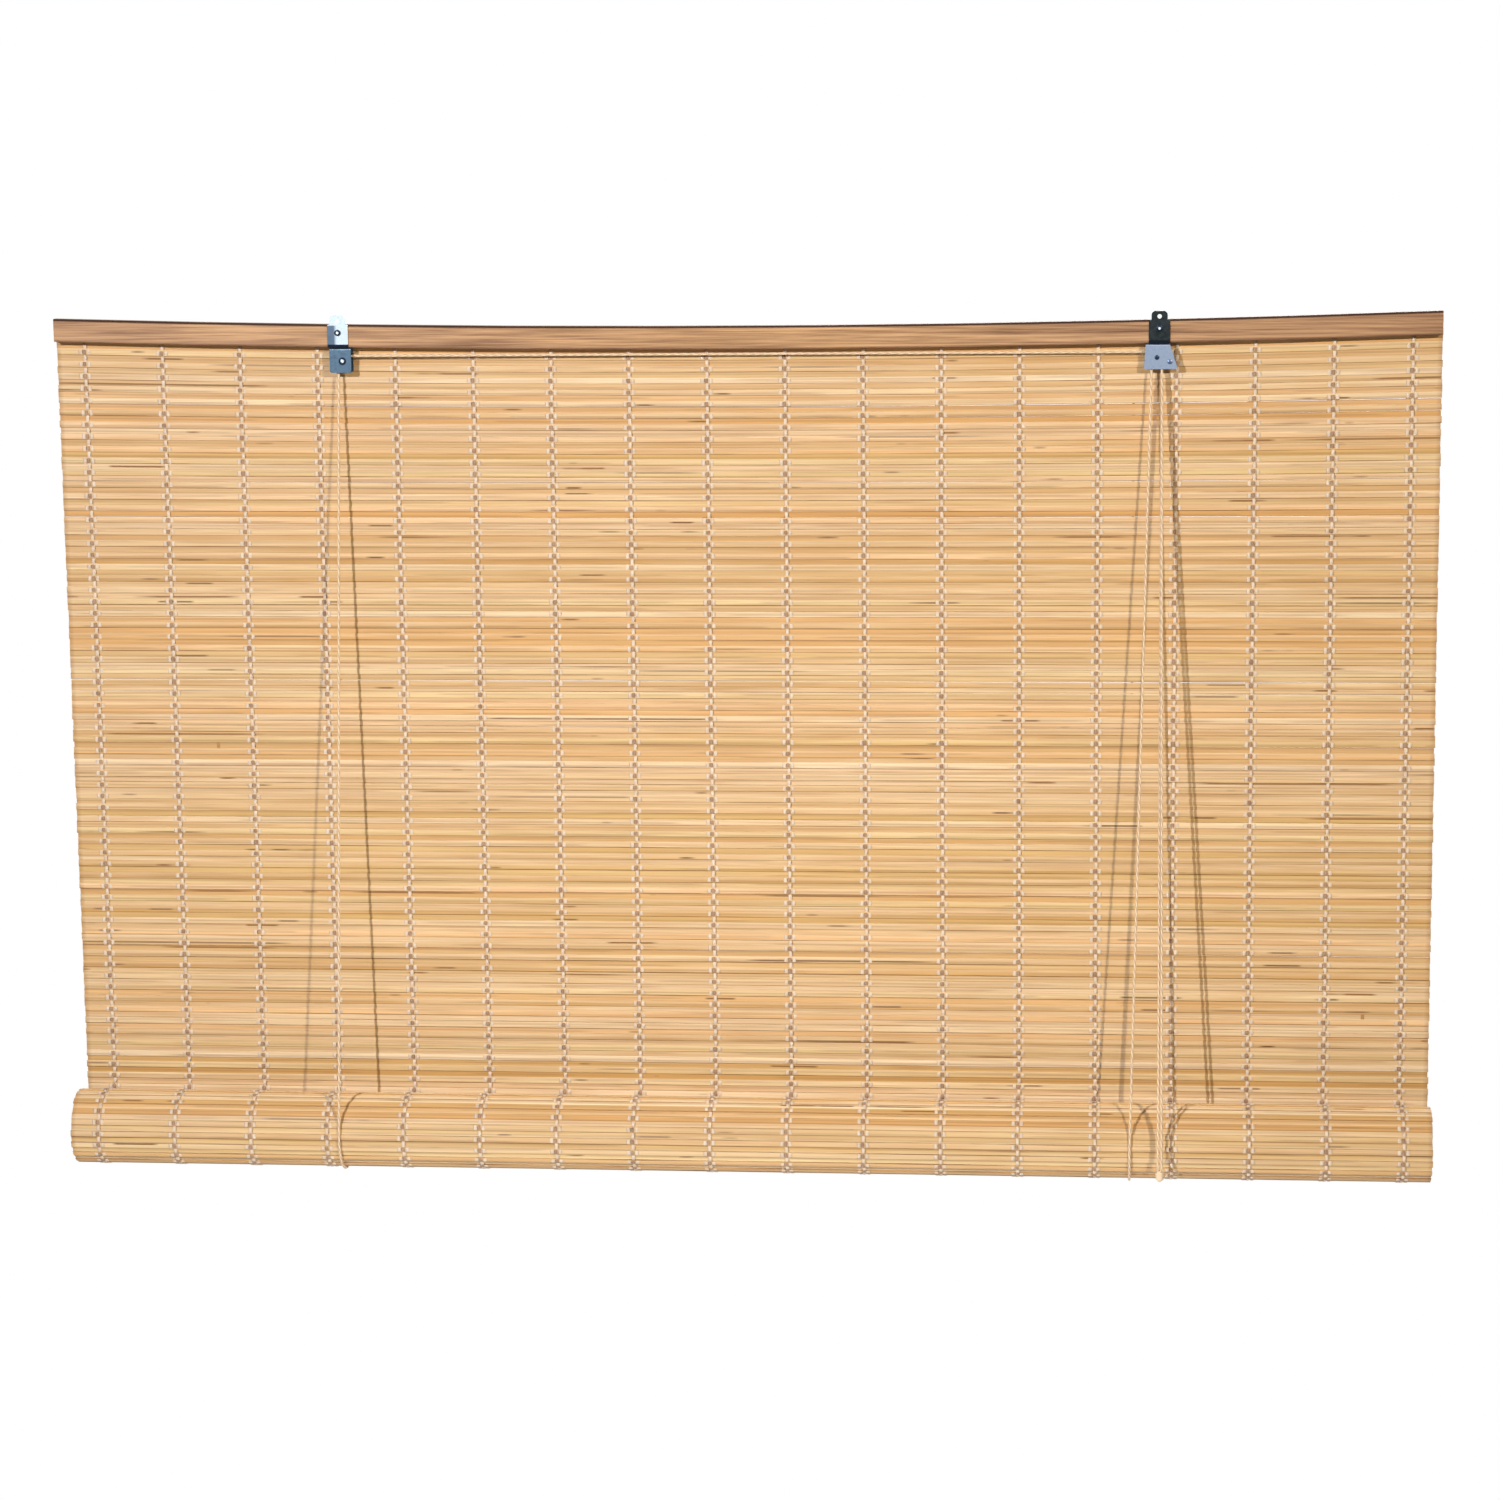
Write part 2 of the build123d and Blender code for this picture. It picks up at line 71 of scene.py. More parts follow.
def add(tree, kind, inputs=None, **settings):
    """New node; each of its inputs gets a value, or the socket that feeds it."""
    made = tree.nodes.new(kind)
    for name, value in settings.items():
        setattr(made, name, value)
    for key, value in (inputs or {}).items():
        if isinstance(value, bpy.types.NodeSocket):
            tree.links.new(value, made.inputs[key])
        else:
            made.inputs[key].default_value = value
    return made


def calc(tree, operation, first, second=0.0):
    """Result of a sum on one or two values."""
    return add(tree, "ShaderNodeMath", {0: first, 1: second}, operation=operation).outputs[0]


def times(tree, first, second):
    """Product of two values."""
    return calc(tree, "MULTIPLY", first, second)


def combined(tree, x=0.0, y=0.0, z=0.0):
    """Vector with three parts."""
    return add(tree, "ShaderNodeCombineXYZ", {0: x, 1: y, 2: z}).outputs[0]


def spread(tree, value, low, high, to_low=0.0, to_high=1.0):
    """Value stretched from one range to another and held within it."""
    return add(tree, "ShaderNodeMapRange",
               {"Value": value, 1: low, 2: high, 3: to_low, 4: to_high}).outputs[0]


def mixed(tree, share, first, second):
    """Two colours mixed."""
    return add(tree, "ShaderNodeMix", {0: share, 6: first, 7: second}, data_type="RGBA").outputs[2]


def speckle(tree, place, scale, detail=3.0, rough=0.55, distortion=0.0):
    """Soft random pattern over a place."""
    return add(tree, "ShaderNodeTexNoise", {"Vector": place, "Scale": scale, "Detail": detail,
                                            "Roughness": rough, "Distortion": distortion}).outputs[0]


def pattern_place(tree):
    """The place on the object that a pattern follows."""
    return add(tree, "ShaderNodeTexCoord").outputs["Object"]


def object_place(tree):
    """The three parts of a place on the object."""
    return add(tree, "ShaderNodeSeparateXYZ", {0: pattern_place(tree)}).outputs


def new_group(name, inputs, outputs):
    """Empty shader group with named sockets, as its tree, its input node and its output node."""
    group = bpy.data.node_groups.new(name, "ShaderNodeTree")
    for label, kind in inputs:
        group.interface.new_socket(name=label, in_out="INPUT", socket_type=kind)
    for label, kind in outputs:
        group.interface.new_socket(name=label, in_out="OUTPUT", socket_type=kind)
    return group, group.nodes.new("NodeGroupInput"), group.nodes.new("NodeGroupOutput")


def use_group(tree, group, inputs):
    """A shader group placed in a material."""
    return add(tree, "ShaderNodeGroup", inputs, node_tree=group)


def new_finish(name, **plain):
    """Material with a Principled shader, whose plain values are set on its own sockets."""
    made = bpy.data.materials.new(name)
    made.use_nodes = True
    shader = made.node_tree.nodes["Principled BSDF"]
    for label, value in plain.items():
        shader.inputs[label.replace("_", " ")].default_value = value
    return made, made.node_tree, shader


def raise_surface(tree, shader, height, strength, depth):
    """Bump on a shader from a height."""
    bump = add(tree, "ShaderNodeBump", {"Height": height, "Strength": strength, "Distance": depth})
    tree.links.new(bump.outputs[0], shader.inputs["Normal"])


def dress(node, finish):
    """Gives a CAD node its finish."""
    for place in nodes[node].material_slots:
        place.material = finish


grain, grain_in, grain_out = new_group(
    "Grain along the length",
    [("Pale", "NodeSocketColor"), ("Dark", "NodeSocketColor"), ("Along", "NodeSocketFloat"),
     ("Across", "NodeSocketFloat"), ("Shift", "NodeSocketFloat")],
    [("Color", "NodeSocketColor"), ("Height", "NodeSocketFloat")])
grain_place = object_place(grain)
grain_x = times(grain, grain_place[0], grain_in.outputs["Along"])
grain_y = times(grain, grain_place[1], grain_in.outputs["Across"])
grain_z = times(grain, grain_place[2], grain_in.outputs["Across"])
grain_way = combined(grain, calc(grain, "ADD", grain_x, grain_in.outputs["Shift"]), grain_y, grain_z)
fibres = speckle(grain, grain_way, 1.0, 6.0, 0.62, 0.2)
bands = speckle(grain, grain_way, 0.22, 2.0)
grain_share = calc(grain, "ADD", times(grain, fibres, 0.6), times(grain, bands, 0.4))
grain_colour = mixed(grain, spread(grain, grain_share, 0.36, 0.64), grain_in.outputs["Dark"],
                     grain_in.outputs["Pale"])
grain.links.new(grain_colour, grain_out.inputs["Color"])
grain.links.new(fibres, grain_out.inputs["Height"])

rail_middle = -8 * mm
rail_top = -7.35 * mm
rail_height = 23 * mm
rail_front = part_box("head_rail")[0][1]
bend_radius = 22.18
top_shade_depths = (1.4 * mm, 2.6 * mm)
front_shade_depths = (rail_front + 1 * mm, rail_front + 4 * mm)
low_shade_depths = (rail_height - 2.6 * mm, rail_height - 1 * mm)
right_stain_reach = (200 * mm, 700 * mm)
left_stain_reach = (-700 * mm, -100 * mm)
pale_reach = (100 * mm, 400 * mm)
rail_wood, tree, shader = new_finish("Stained rail wood")
rail_grain = use_group(tree, grain, {"Pale": tone(228, 180, 131), "Dark": tone(90, 47, 21),
                                     "Along": 9.0, "Across": 420.0, "Shift": 3.0})
rail_place = object_place(tree)
rail_x = calc(tree, "SUBTRACT", rail_place[0], rail_middle)
rail_rise = calc(tree, "DIVIDE", times(tree, rail_x, rail_x), 2 * bend_radius)
below_top = calc(tree, "SUBTRACT", calc(tree, "ADD", rail_rise, rail_top), rail_place[2])
# Painted shade: a dark line along the rail's top edge, strongest at its front, and a darker band along its
# lower edge. The top line is also made rough, so it shows no sheen.
rail_top_shade = times(tree, spread(tree, below_top, *top_shade_depths, 1.0, 0.0),
                 spread(tree, rail_place[1], *front_shade_depths, 1.0, 0.2))
rail_low_shade = spread(tree, below_top, *low_shade_depths)
end_stain = spread(tree, rail_x, *right_stain_reach, 0.0, 0.42)
end_stain = calc(tree, "ADD", end_stain, spread(tree, rail_x, *left_stain_reach, 0.3, 0.0))
paler = spread(tree, calc(tree, "ABSOLUTE", rail_x), *pale_reach, 0.18, 0.0)
rail_colour = mixed(tree, paler, rail_grain.outputs["Color"], tone(226, 171, 106))
rail_colour = mixed(tree, end_stain, rail_colour, tone(132, 86, 55))
rail_colour = mixed(tree, rail_top_shade, rail_colour, tone(64, 38, 26))
rail_colour = mixed(tree, times(tree, rail_low_shade, 0.6), rail_colour, tone(104, 66, 38))
tree.links.new(rail_colour, shader.inputs["Base Color"])
tree.links.new(spread(tree, rail_top_shade, 0.0, 1.0, 0.55, 1.0), shader.inputs["Roughness"])
raise_surface(tree, shader, rail_grain.outputs["Height"], 0.35, 0.0006)
dress("head_rail", rail_wood)

# Hanger plates. Two straps of zinc-plated sheet with a rounded tab and a hanging hole, each
# held to the rail's front by one screw. The plating has an uneven spangle. Painted shade darkens
# the foot of each plate, a painted dark reflection runs down the left one's left side below its
# tab, and the right one's near-black is a painted dark reflection.
hanger_x = 413 * mm
screw_z = -11.8 * mm
screw_highlight_reach = (1 * mm, 1.5 * mm)
plate_shade_top = -24 * mm
tab_foot_heights = (-5 * mm, -4 * mm)
reflection_fade = 3 * mm
shade_fade = 0.8 * mm
shade_ring_reach = (3.6 * mm, 4.2 * mm)
zinc, zinc_in, zinc_out = new_group(
    "Dulled zinc", [("Bright", "NodeSocketColor"), ("Dull", "NodeSocketColor")],
    [("Color", "NodeSocketColor"), ("Roughness", "NodeSocketFloat"), ("Height", "NodeSocketFloat")])
zinc_place = pattern_place(zinc)
spangle = speckle(zinc, zinc_place, 260.0, 4.0, 0.6)
zinc_share = spread(zinc, spangle, 0.35, 0.7)
zinc.links.new(mixed(zinc, zinc_share, zinc_in.outputs["Bright"], zinc_in.outputs["Dull"]),
               zinc_out.inputs["Color"])
zinc.links.new(spread(zinc, zinc_share, 0.0, 1.0, 0.3, 0.5), zinc_out.inputs["Roughness"])
zinc.links.new(speckle(zinc, zinc_place, 900.0, 2.0), zinc_out.inputs["Height"])


def reach_from(tree, x, z, both_sides=False):
    """Distance from a point on the front, seen from the front."""
    place = object_place(tree)
    side = calc(tree, "ABSOLUTE", place[0]) if both_sides else place[0]
    way = combined(tree, calc(tree, "SUBTRACT", side, x), 0.0, calc(tree, "SUBTRACT", place[2], z))
    return add(tree, "ShaderNodeVectorMath", {0: way}, operation="LENGTH").outputs["Value"]


def zinc_finish(name, bright, dull, shade_top=None, dark_reflection_x=None, ring=None):
    """Plated steel of one colour: painted shade below a height or round a point,
    a painted dark reflection left of an x.
    """
    finish, tree, shader = new_finish(name, Metallic=0.85)
    plating = use_group(tree, zinc, {"Bright": bright, "Dull": dull})
    colour = plating.outputs["Color"]
    if dark_reflection_x:
        dark_reflection = spread(tree, object_place(tree)[0], dark_reflection_x - reflection_fade, dark_reflection_x, 0.95, 0.0)
        below_tab = spread(tree, object_place(tree)[2], *tab_foot_heights, 1.0, 0.0)
        colour = mixed(tree, times(tree, dark_reflection, below_tab), colour, tone(68, 84, 100))
    if shade_top:
        below_shade_top = spread(tree, object_place(tree)[2], shade_top, shade_top + shade_fade, 1.0, 0.0)
        colour = mixed(tree, below_shade_top, colour, tone(10, 18, 30))
    if ring:
        in_shade_ring = spread(tree, reach_from(tree, *ring), *shade_ring_reach, 1.0, 0.0)
        colour = mixed(tree, in_shade_ring, colour, tone(16, 30, 44))
    tree.links.new(colour, shader.inputs["Base Color"])
    tree.links.new(plating.outputs["Roughness"], shader.inputs["Roughness"])
    raise_surface(tree, shader, plating.outputs["Height"], 0.15, 0.0002)
    return finish


# Painted shade at each plate's foot, and a painted dark reflection down the left plate's left side.
plate_zinc = zinc_finish("Plate zinc", tone(186, 198, 210), tone(160, 174, 188), shade_top=plate_shade_top,
                         dark_reflection_x=-hanger_x - 1 * mm)
# The right plate's near-black is a painted dark reflection, not a finish of its own.
dark_reflection_zinc = zinc_finish("Zinc in painted dark reflection", tone(48, 56, 60), tone(18, 22, 24), shade_top=plate_shade_top)
dress("hanger_plate_left", plate_zinc)
dress("hanger_plate_right", dark_reflection_zinc)
# Each screw head is dark, with a painted highlight in its middle.
screw_zinc, tree, shader = new_finish("Screw zinc", Metallic=0.85, Roughness=0.4)
off_screw_highlight = spread(tree, reach_from(tree, hanger_x, screw_z, both_sides=True), *screw_highlight_reach)
tree.links.new(mixed(tree, off_screw_highlight, tone(214, 224, 232), tone(24, 34, 46)), shader.inputs["Base Color"])
dress("plate_screws", screw_zinc)

# Mat. Split bamboo slats, planed flat and laid side by side. The weave pulls every second one
# back a little; those are painted darker, as in the shade of the others. No two have quite the
# same colour, length or line.
mat_width = 1400 * mm
mat_middle = rail_middle
mat_y = 14.25 * mm
mat_top = -9 * mm
slat_pitch = 6 * mm
slat_height = 6 * mm
slat_thickness = 2.1 * mm
slat_corner = 0.4 * mm
slat_stagger = 0.4 * mm
slat_jitter = 0.45 * mm
slat_wander = 0.5 * mm
slat_bends = 9
slat_waves = 3.0
slat_lean = 0.06
slat_push_spread = 0.4
slat_length_shares = (0.9985, 1.0)
slat_thickness_shares = (0.9, 1.04)
slat_height_shares = (1.02, 1.14)
hanging_slats = 138


def new_tree(name, inputs):
    """Empty Geometry Nodes tree that takes named sizes and gives a mesh."""
    made = bpy.data.node_groups.new(name, "GeometryNodeTree")
    for label, kind in inputs:
        made.interface.new_socket(name=label, in_out="INPUT", socket_type=kind)
    made.interface.new_socket(name="Geometry", in_out="OUTPUT", socket_type="NodeSocketGeometry")
    return made, made.nodes.new("NodeGroupInput").outputs, made.nodes.new("NodeGroupOutput").inputs


def grown(name, recipe, sizes, start=None):
    """Object whose mesh a Geometry Nodes tree makes from named sizes."""
    made = bpy.data.objects.new(name, start or bpy.data.meshes.new(name))
    bpy.context.collection.objects.link(made)
    modifier = made.modifiers.new("Recipe", "NODES")
    modifier.node_group = recipe
    for socket in recipe.interface.items_tree:
        if socket.in_out == "INPUT" and socket.name in sizes:
            modifier[socket.identifier] = sizes[socket.name]
    bpy.context.view_layer.update()
    result = bpy.data.meshes.new_from_object(made.evaluated_get(bpy.context.evaluated_depsgraph_get()))
    made.modifiers.remove(modifier)
    made.data = result
    result.name = name
    shell = bmesh.new()
    shell.from_mesh(result)
    bmesh.ops.recalc_face_normals(shell, faces=shell.faces)
    shell.to_mesh(result)
    shell.free()
    return made


def random_value(tree, seed, draw, low, high):
    """Random value for each slat; a draw of its own keeps it apart from the others."""
    return add(tree, "FunctionNodeRandomValue", {2: low, 3: high, 8: calc(tree, "ADD", seed, float(draw))},
               data_type="FLOAT").outputs[1]


def point_place(tree):
    """The three parts of a mesh point's place."""
    place = add(tree, "GeometryNodeInputPosition").outputs[0]
    return add(tree, "ShaderNodeSeparateXYZ", {0: place}).outputs


def stored(tree, shape, name, value, **settings):
    """Shape with a named value stored on it, for a later step or a material."""
    return add(tree, "GeometryNodeStoreNamedAttribute",
               {"Geometry": shape.outputs[0], "Name": name, "Value": value}, data_type="FLOAT", **settings)


def stored_value(tree, name):
    """Value that an earlier step stored on the shape."""
    return add(tree, "GeometryNodeInputNamedAttribute", {"Name": name}, data_type="FLOAT").outputs[0]


slat_rows, sizes, out = new_tree("Slat rows", [
    ("Count", "NodeSocketInt"), ("Pitch", "NodeSocketFloat"), ("Length", "NodeSocketFloat"),
    ("Height", "NodeSocketFloat"), ("Thickness", "NodeSocketFloat"), ("Corner", "NodeSocketFloat"),
    ("Stagger", "NodeSocketFloat"), ("Jitter", "NodeSocketFloat"), ("Wander", "NodeSocketFloat"),
    ("Bends", "NodeSocketInt"), ("Top", "NodeSocketVector"), ("Seed", "NodeSocketInt"),
    ("Finish", "NodeSocketMaterial")])
tree = slat_rows
seed = sizes["Seed"]
half_length = times(tree, sizes["Length"], 0.5)
slat_line = add(tree, "GeometryNodeCurvePrimitiveLine", {
    "Start": combined(tree, times(tree, half_length, -1.0)), "End": combined(tree, half_length)})
slat_line = add(tree, "GeometryNodeResampleCurve", {"Curve": slat_line.outputs[0], "Count": sizes["Bends"]})
section = add(tree, "GeometryNodeCurvePrimitiveQuadrilateral",
              {"Width": sizes["Thickness"], "Height": sizes["Height"]})
section = add(tree, "GeometryNodeFilletCurve", {"Curve": section.outputs[0], "Count": 1,
                                                "Radius": sizes["Corner"]}, mode="POLY")
slat = add(tree, "GeometryNodeCurveToMesh", {"Curve": slat_line.outputs[0], "Fill Caps": True,
                                             "Profile Curve": section.outputs[0]})
slat = stored(tree, slat, "slat_across", calc(tree, "DIVIDE", point_place(tree)[2], sizes["Height"]))
drop = times(tree, sizes["Pitch"], -1.0)
half_drop = combined(tree, z=times(tree, drop, 0.5))
first_row = add(tree, "ShaderNodeVectorMath", {0: sizes["Top"], 1: half_drop}, operation="ADD").outputs[0]
rows = add(tree, "GeometryNodeMeshLine", {"Count": sizes["Count"], "Start Location": first_row,
                                          "Offset": combined(tree, z=drop)})
behind = calc(tree, "MODULO", add(tree, "GeometryNodeInputIndex").outputs[0], 2.0)
own_push = calc(tree, "ADD", calc(tree, "SUBTRACT", times(tree, behind, 2.0), 1.0),
                random_value(tree, seed, 6, -slat_push_spread, slat_push_spread))
own_slip = random_value(tree, seed, 7, -1.0, 1.0)
push = combined(tree, 0.0, times(tree, own_push, sizes["Stagger"]),
                times(tree, own_slip, sizes["Jitter"]))
rows = add(tree, "GeometryNodeSetPosition", {"Geometry": rows.outputs[0], "Offset": push})
lean = combined(tree, random_value(tree, seed, 0, -slat_lean, slat_lean))
own_size = combined(tree, random_value(tree, seed, 1, *slat_length_shares),
                    random_value(tree, seed, 2, *slat_thickness_shares),
                    random_value(tree, seed, 3, *slat_height_shares))
slats = add(tree, "GeometryNodeInstanceOnPoints", {
    "Points": rows.outputs[0], "Instance": slat.outputs[0], "Rotation": lean, "Scale": own_size})
slats = stored(tree, slats, "slat_tone", random_value(tree, seed, 4, 0.0, 1.0), domain="INSTANCE")
slats = stored(tree, slats, "slat_behind", behind, domain="INSTANCE")
slats = stored(tree, slats, "slat_shift", random_value(tree, seed, 5, 0.0, 60.0), domain="INSTANCE")
slats = add(tree, "GeometryNodeRealizeInstances", {0: slats.outputs[0]})
way = combined(tree, times(tree, point_place(tree)[0], slat_waves), stored_value(tree, "slat_shift"))
wave = add(tree, "ShaderNodeTexNoise", {"Vector": way, "Scale": 1.0, "Detail": 1.0})
wave = add(tree, "ShaderNodeVectorMath", {0: wave.outputs[1], 1: (0.5, 0.5, 0.5)}, operation="SUBTRACT")
wave = add(tree, "ShaderNodeVectorMath", {0: wave.outputs[0],
                                          1: combined(tree, 0.0, sizes["Wander"], sizes["Wander"])},
           operation="MULTIPLY")
slats = add(tree, "GeometryNodeSetPosition", {"Geometry": slats.outputs[0], "Offset": wave.outputs[0]})
slats = add(tree, "GeometryNodeSetShadeSmooth", {0: slats.outputs[0], "Shade Smooth": False})
slats = add(tree, "GeometryNodeSetMaterial", {"Geometry": slats.outputs[0], "Material": sizes["Finish"]})
tree.links.new(slats.outputs[0], out[0])


def own_value(tree, name):
    """Value stored on the shape, as its material reads it."""
    return add(tree, "ShaderNodeAttribute", attribute_name=name).outputs["Fac"]


def close_to(tree, value, middle, reach):
    """One where a value lies near a middle, else none."""
    return add(tree, "ShaderNodeMath", {0: value, 1: middle, 2: reach}, operation="COMPARE").outputs[0]


dash_width = 0.14
joint_gap = 290 * mm
joint_width = 0.006
tip_length = 6 * mm
bamboo, tree, shader = new_finish("Split bamboo", Roughness=0.5, Diffuse_Roughness=1.0)
own_shift = own_value(tree, "slat_shift")
across = own_value(tree, "slat_across")
behind = own_value(tree, "slat_behind")
shades = add(tree, "ShaderNodeValToRGB", {0: own_value(tree, "slat_tone")})
shade_steps = [(0.0, tone(220, 178, 110)), (0.25, tone(235, 203, 149)), (0.5, tone(242, 216, 172)),
               (0.8, tone(248, 226, 188)), (1.0, tone(253, 236, 205))]
for (share, colour), made in zip(shade_steps, [*shades.color_ramp.elements]
                                 + [shades.color_ramp.elements.new(0.5) for _ in shade_steps[2:]]):
    made.position = share
    made.color = colour
slat_x = object_place(tree)[0]
slat_way = combined(tree, slat_x, own_shift)


def stretch_of_slat(scale, low, high, turn):
    """Mask of stretches along the slats, each slat with its own."""
    way = add(tree, "ShaderNodeMapping", {"Vector": slat_way, "Location": (turn, turn, 0.0),
                                          "Scale": (scale, 7.3, 1.0)}).outputs[0]
    return spread(tree, speckle(tree, way, 1.0, 2.0), low, high)


colour = mixed(tree, times(tree, stretch_of_slat(7.0, 0.45, 0.75, 0.0), 0.4),
               shades.outputs[0], tone(226, 182, 112))
colour = mixed(tree, times(tree, stretch_of_slat(5.0, 0.5, 0.8, 4.0), 0.4),
               colour, tone(255, 239, 206))
hue = calc(tree, "FRACT", times(tree, own_shift, 7.0))
colour = mixed(tree, spread(tree, hue, 0.7, 1.0, 0.0, 0.55), colour, tone(246, 194, 118))
colour = mixed(tree, spread(tree, hue, 0.3, 0.0, 0.0, 0.5), colour, tone(234, 210, 138))
dash_height = times(tree, calc(tree, "SUBTRACT", calc(tree, "FRACT", own_shift), 0.5), 0.6)
on_dash = close_to(tree, across, dash_height, dash_width)
for scale, low, strength, turn in ((9.0, 0.65, 1.0, 9.0), (2.4, 0.645, 0.9, 21.0), (3.5, 0.45, 0.25, 33.0)):
    dash = times(tree, on_dash, stretch_of_slat(scale, low, low + 0.03, turn))
    colour = mixed(tree, times(tree, dash, strength), colour, tone(98, 55, 20))
joint_place = calc(tree, "FRACT", calc(tree, "DIVIDE", calc(tree, "ADD", slat_x, own_shift), joint_gap))
at_joint = close_to(tree, joint_place, 0.5, joint_width)
colour = mixed(tree, times(tree, at_joint, stretch_of_slat(0.5, 0.68, 0.7, 14.0)),
               colour, tone(182, 134, 84))
to_tip = calc(tree, "ABSOLUTE", calc(tree, "SUBTRACT", slat_x, mat_middle))
colour = mixed(tree, spread(tree, to_tip, mat_width / 2 - tip_length, mat_width / 2, 0.0, 0.55),
               colour, tone(150, 104, 62))
# Painted shade: a dark line along each slat's lower edge, stronger in some stretches, and over the upper
# part of the slats pulled back. A painted highlight runs along the middle of the front ones, and the slats
# pulled back are painted darker.
edge_shade_strength = spread(tree, stretch_of_slat(8.0, 0.4, 0.66, 31.0), 0.0, 1.0, 0.25, 1.0)
low_edge_shade = times(tree, spread(tree, across, -0.36, -0.45), edge_shade_strength)
high_edge_shade = times(tree, spread(tree, across, 0.3, 0.47), spread(tree, behind, 0.0, 1.0, 0.1, 0.7))
crown_highlight = times(tree, spread(tree, across, -0.3, 0.3), spread(tree, behind, 0.0, 1.0, 0.4, 0.0))
colour = mixed(tree, crown_highlight, colour, tone(255, 236, 200))
colour = mixed(tree, times(tree, behind, 0.25), colour, tone(220, 174, 106))
colour = mixed(tree, high_edge_shade, colour, tone(170, 120, 66))
colour = mixed(tree, low_edge_shade, colour, tone(124, 80, 36))
bamboo_grain = use_group(tree, grain, {"Pale": colour, "Dark": mixed(tree, 0.5, colour, tone(188, 138, 78)),
                                       "Along": 10.0, "Across": 640.0, "Shift": own_shift})
tree.links.new(bamboo_grain.outputs["Color"], shader.inputs["Base Color"])
raise_surface(tree, shader, bamboo_grain.outputs["Height"], 0.3, 0.0004)

slat_sizes = {"Count": hanging_slats, "Pitch": slat_pitch, "Length": mat_width, "Height": slat_height,
              "Thickness": slat_thickness, "Corner": slat_corner, "Stagger": slat_stagger,
              "Jitter": slat_jitter, "Wander": slat_wander, "Bends": slat_bends,
              "Top": (mat_middle, mat_y, mat_top), "Seed": 11, "Finish": bamboo}
bamboo_slats = grown("bamboo_slats", slat_rows, slat_sizes)

rail_sag = 11 * mm
sag_balance = 0.35
sag_reach = 340 * mm


def places_of(mesh):
    """Vertex places of a mesh as an array."""
    places = np.empty(len(mesh.vertices) * 3)
    mesh.vertices.foreach_get("co", places)
    return places.reshape(-1, 3)


def put_places(mesh, places):
    """Writes vertex places back to a mesh."""
    mesh.vertices.foreach_set("co", places.ravel())
    mesh.update()


def hang_from_rail(mesh):
    """The top of the mat takes the rail's sag, which fades out further down."""
    places = places_of(mesh)
    depth = np.clip((mat_top - places[:, 2]) / sag_reach, 0.0, 1.0)
    rise = rail_sag * (((places[:, 0] - mat_middle) / (mat_width / 2)) ** 2 - sag_balance)
    places[:, 2] += rise * (1 - depth) ** 2
    put_places(mesh, places)


def fold_up(piece):
    """Hangs a piece from the head rail's body, with a mesh of its own."""
    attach(piece, "head")
    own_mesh(piece)


roll_z = mat_top - hanging_slats * slat_pitch
hang_from_rail(bamboo_slats.data)
fold_up(bamboo_slats)
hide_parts("bamboo_mat")

# Warp threads. Narrow bands of cotton threads in a plain weave: where the pale middle thread lies
# over a slat, its brown partner and the two side threads lie under it. The brown partner's colour
# is painted shade, for the dark hole where the pale thread goes under. They run on over the roll.
thread_columns = 18
thread_margin = 29.4 * mm
thread_crowding = 7.5 * mm
threads_apart = 4.2 * mm
thread_radius = 2.05 * mm
thread_flatness = 0.26
thread_reach = 1.75 * mm
points_per_slat = 2
point_shift = 0.25
thread_sides = 5
thread_square = 2.2

woven, sizes, out = new_tree("Woven threads", [
    ("Slats", "NodeSocketInt"), ("Pitch", "NodeSocketFloat"), ("Columns", "NodeSocketInt"),
    ("Row", "NodeSocketFloat"), ("Crowding", "NodeSocketFloat"), ("Apart", "NodeSocketFloat"),
    ("Radius", "NodeSocketFloat"), ("Reach", "NodeSocketFloat"), ("Top", "NodeSocketVector"),
    ("Pale", "NodeSocketMaterial"), ("Brown", "NodeSocketMaterial")])
tree = woven
column_length = times(tree, sizes["Slats"], sizes["Pitch"])
column_points = calc(tree, "ADD", times(tree, sizes["Slats"], float(points_per_slat)), 1.0)
column = add(tree, "GeometryNodeCurvePrimitiveLine",
             {"End": combined(tree, z=times(tree, column_length, -1.0))})
column = add(tree, "GeometryNodeResampleCurve", {"Curve": column.outputs[0], "Count": column_points})
fallen = add(tree, "GeometryNodeSplineParameter").outputs["Length"]
passed = calc(tree, "DIVIDE", fallen, sizes["Pitch"])
turn = times(tree, calc(tree, "ADD", passed, point_shift - 0.5), pi)
square = times(tree, calc(tree, "COSINE", turn), thread_square)
square = add(tree, "ShaderNodeClamp", {0: square, 1: -1.0, 2: 1.0}).outputs[0]
weave = combined(tree, 0.0, times(tree, square, sizes["Reach"]),
                 times(tree, sizes["Pitch"], -point_shift))
column = add(tree, "GeometryNodeSetPosition", {"Geometry": column.outputs[0], "Offset": weave})
round_section = add(tree, "GeometryNodeCurvePrimitiveCircle", {"Resolution": thread_sides,
                                                               "Radius": sizes["Radius"]})
flat_section = add(tree, "GeometryNodeTransform", {"Geometry": round_section.outputs[0],
                                                   "Scale": (1.0, thread_flatness, 1.0)})
strand = add(tree, "GeometryNodeCurveToMesh", {"Curve": column.outputs[0], "Fill Caps": True,
                                               "Profile Curve": flat_section.outputs[0]})
strand = add(tree, "GeometryNodeSetShadeSmooth", {0: strand.outputs[0]})
band = add(tree, "GeometryNodeJoinGeometry")
